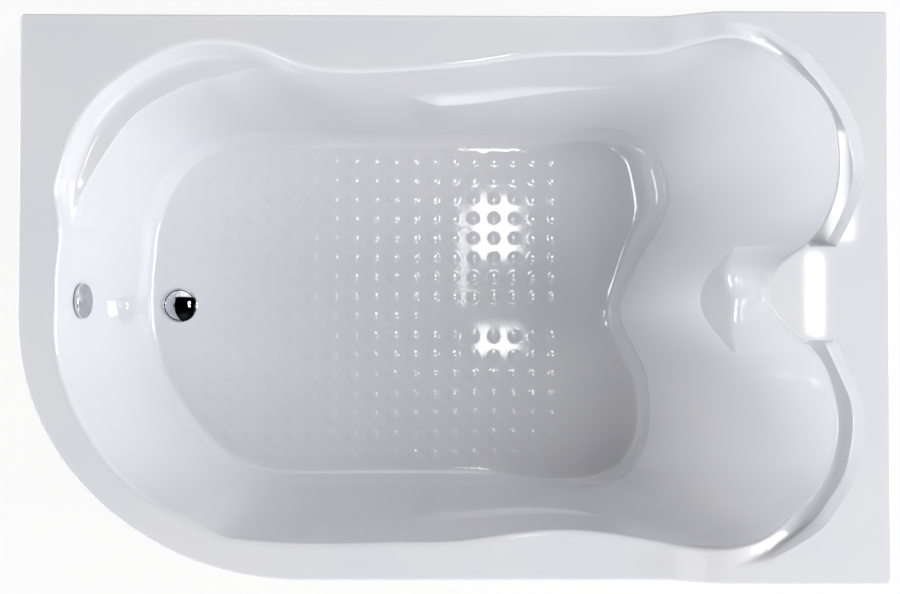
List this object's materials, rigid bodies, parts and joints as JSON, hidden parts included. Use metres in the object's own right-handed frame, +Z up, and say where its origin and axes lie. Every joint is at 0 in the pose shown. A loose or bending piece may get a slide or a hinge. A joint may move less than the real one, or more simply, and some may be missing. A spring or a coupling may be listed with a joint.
{
  "type": "acrylic bathtub",
  "caption": "Asymmetric acrylic bathtub for two, with one long rounded corner, twin backrests, raised head deck, pop-up waste and a steel underframe on levelling feet.",
  "frame": {"origin": "centre of the overall box on the floor, at rest", "axes": "+X along the tub towards its raised head end, +Y towards the back wall side, +Z up"},
  "size_m": [1.7, 1.11, 0.65],
  "materials": {
    "acrylic": "polished white acrylic sheet",
    "glass_fibre": "sprayed glass-fibre laminate",
    "board": "raw chipboard",
    "batten_wood": "sawn softwood",
    "frame_paint": "grey powder coat",
    "zinc_steel": "zinc plated",
    "chrome": "polished chrome",
    "rubber": "black moulded rubber",
    "waste_plastic": "white polypropylene",
    "brass": "turned brass",
    "cable_sheath": "grey sheath",
    "pad_plastic": "black polyamide"
  },
  "bodies": {
    "tub": {"acrylic_shell": "acrylic", "laminate_shell": "glass_fibre", "base_board": "board", "back_batten": "batten_wood", "front_batten": "batten_wood", "foot_batten": "batten_wood", "head_batten": "batten_wood", "back_head_batten": "batten_wood", "front_head_batten": "batten_wood", "corner_batten": "batten_wood", "back_rail": "frame_paint", "front_rail": "frame_paint", "foot_cross_member": "frame_paint", "middle_cross_member": "frame_paint", "head_cross_member": "frame_paint", "foot_front_post": "frame_paint", "foot_back_post": "frame_paint", "middle_front_post": "frame_paint", "middle_back_post": "frame_paint", "head_front_post": "frame_paint", "head_back_post": "frame_paint", "rim_plates": "zinc_steel", "batten_screws": "zinc_steel", "board_screws": "zinc_steel", "levelling_nuts": "zinc_steel", "overflow_screws": "zinc_steel", "drain_flange": "chrome", "overflow_plate": "chrome", "drain_gasket": "rubber", "overflow_gasket": "rubber", "drain_body": "waste_plastic", "overflow_body": "waste_plastic", "overflow_pipe": "waste_plastic", "pipe_nuts": "waste_plastic", "cable_clips": "waste_plastic", "trap_body": "waste_plastic", "trap_cap": "waste_plastic", "trap_inlet_nut": "waste_plastic", "trap_outlet_nut": "waste_plastic", "outlet_pipe": "waste_plastic", "control_cable": "cable_sheath"},
    "plug": {"drain_plug": "chrome", "plug_seal": "rubber", "lift_rod": "brass"},
    "knob": {"overflow_knob": "chrome"},
    "foot_1": {"foot_pad_1": "pad_plastic"},
    "rod_1": {"threaded_rod_1": "zinc_steel"},
    "foot_2": {"foot_pad_2": "pad_plastic"},
    "rod_2": {"threaded_rod_2": "zinc_steel"},
    "foot_3": {"foot_pad_3": "pad_plastic"},
    "rod_3": {"threaded_rod_3": "zinc_steel"},
    "foot_4": {"foot_pad_4": "pad_plastic"},
    "rod_4": {"threaded_rod_4": "zinc_steel"},
    "foot_5": {"foot_pad_5": "pad_plastic"},
    "rod_5": {"threaded_rod_5": "zinc_steel"},
    "foot_6": {"foot_pad_6": "pad_plastic"},
    "rod_6": {"threaded_rod_6": "zinc_steel"}
  },
  "joints": [
    {"name": "overflow_turn", "type": "hinge", "parent": "tub", "child": "knob", "pos_m": [-0.75105, -0.008, 0.49], "axis": [0.9772, 0, 0.2125], "range_deg": [0, 90]},
    {"name": "plug_lift", "type": "slide", "parent": "tub", "child": "plug", "axis": [0, 0, 1], "range_m": [0, 0.01005]},
    {"name": "foot_slide_1", "type": "slide", "parent": "tub", "child": "foot_1", "axis": [0, 0, -1], "range_m": [-0.015, 0.025]},
    {"name": "rod_turn_1", "type": "hinge", "parent": "foot_1", "child": "rod_1", "pos_m": [-0.7, -0.2929, 0.008], "axis": [0, 0, -1], "range_deg": [-3085, 5142]},
    {"name": "foot_slide_2", "type": "slide", "parent": "tub", "child": "foot_2", "axis": [0, 0, -1], "range_m": [-0.015, 0.025]},
    {"name": "rod_turn_2", "type": "hinge", "parent": "foot_2", "child": "rod_2", "pos_m": [-0.7, 0.475, 0.008], "axis": [0, 0, -1], "range_deg": [-3085, 5142]},
    {"name": "foot_slide_3", "type": "slide", "parent": "tub", "child": "foot_3", "axis": [0, 0, -1], "range_m": [-0.015, 0.025]},
    {"name": "rod_turn_3", "type": "hinge", "parent": "foot_3", "child": "rod_3", "pos_m": [-0.06, -0.475, 0.008], "axis": [0, 0, -1], "range_deg": [-3085, 5142]},
    {"name": "foot_slide_4", "type": "slide", "parent": "tub", "child": "foot_4", "axis": [0, 0, -1], "range_m": [-0.015, 0.025]},
    {"name": "rod_turn_4", "type": "hinge", "parent": "foot_4", "child": "rod_4", "pos_m": [-0.06, 0.475, 0.008], "axis": [0, 0, -1], "range_deg": [-3085, 5142]},
    {"name": "foot_slide_5", "type": "slide", "parent": "tub", "child": "foot_5", "axis": [0, 0, -1], "range_m": [-0.015, 0.025]},
    {"name": "rod_turn_5", "type": "hinge", "parent": "foot_5", "child": "rod_5", "pos_m": [0.7, -0.475, 0.008], "axis": [0, 0, -1], "range_deg": [-3085, 5142]},
    {"name": "foot_slide_6", "type": "slide", "parent": "tub", "child": "foot_6", "axis": [0, 0, -1], "range_m": [-0.015, 0.025]},
    {"name": "rod_turn_6", "type": "hinge", "parent": "foot_6", "child": "rod_6", "pos_m": [0.7, 0.475, 0.008], "axis": [0, 0, -1], "range_deg": [-3085, 5142]}
  ],
  "couplings": [
    {"joint": "plug_lift", "follows": "overflow_turn", "m_per_rad": 0.0063662},
    {"joint": "rod_turn_1", "follows": "foot_slide_1", "rad_per_m": 3590.4},
    {"joint": "rod_turn_2", "follows": "foot_slide_2", "rad_per_m": 3590.4},
    {"joint": "rod_turn_3", "follows": "foot_slide_3", "rad_per_m": 3590.4},
    {"joint": "rod_turn_4", "follows": "foot_slide_4", "rad_per_m": 3590.4},
    {"joint": "rod_turn_5", "follows": "foot_slide_5", "rad_per_m": 3590.4},
    {"joint": "rod_turn_6", "follows": "foot_slide_6", "rad_per_m": 3590.4}
  ]
}
